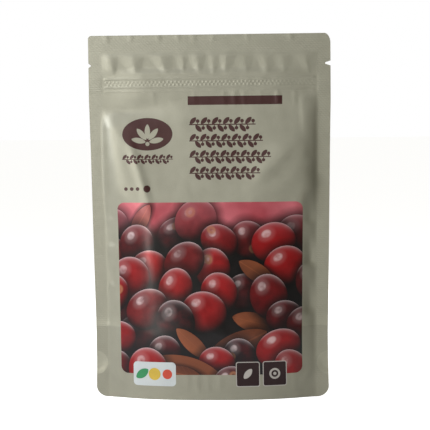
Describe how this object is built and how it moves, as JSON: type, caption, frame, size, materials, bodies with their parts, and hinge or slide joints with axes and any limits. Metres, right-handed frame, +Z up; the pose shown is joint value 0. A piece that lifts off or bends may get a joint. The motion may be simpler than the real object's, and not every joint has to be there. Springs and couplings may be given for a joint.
{
  "type": "stand-up zip pouch",
  "caption": "filled stand-up pouch of satin laminate with a folded bottom gusset, press zip, tear notches, rounded corners and dried berries inside",
  "frame": {"origin": "on the floor under the middle of the pouch, at the centre of its footprint", "axes": "+Z up along the pouch's height, +X along its width with the printed front facing -Y, and +Y through its thickness towards the back"},
  "size_m": [0.13, 0.0268, 0.196],
  "materials": {
    "printed_film": "satin",
    "plain_film": "satin",
    "gusset_laminate": "satin",
    "zip_plastic": "gloss",
    "dried_berry": "satin"
  },
  "bodies": {
    "root": {"front_film": "printed_film", "back_film": "plain_film", "gusset_film": "gusset_laminate", "zip_groove_strip": "zip_plastic", "zip_rib_strip": "zip_plastic", "cranberry_fill": "dried_berry"}
  },
  "joints": []
}
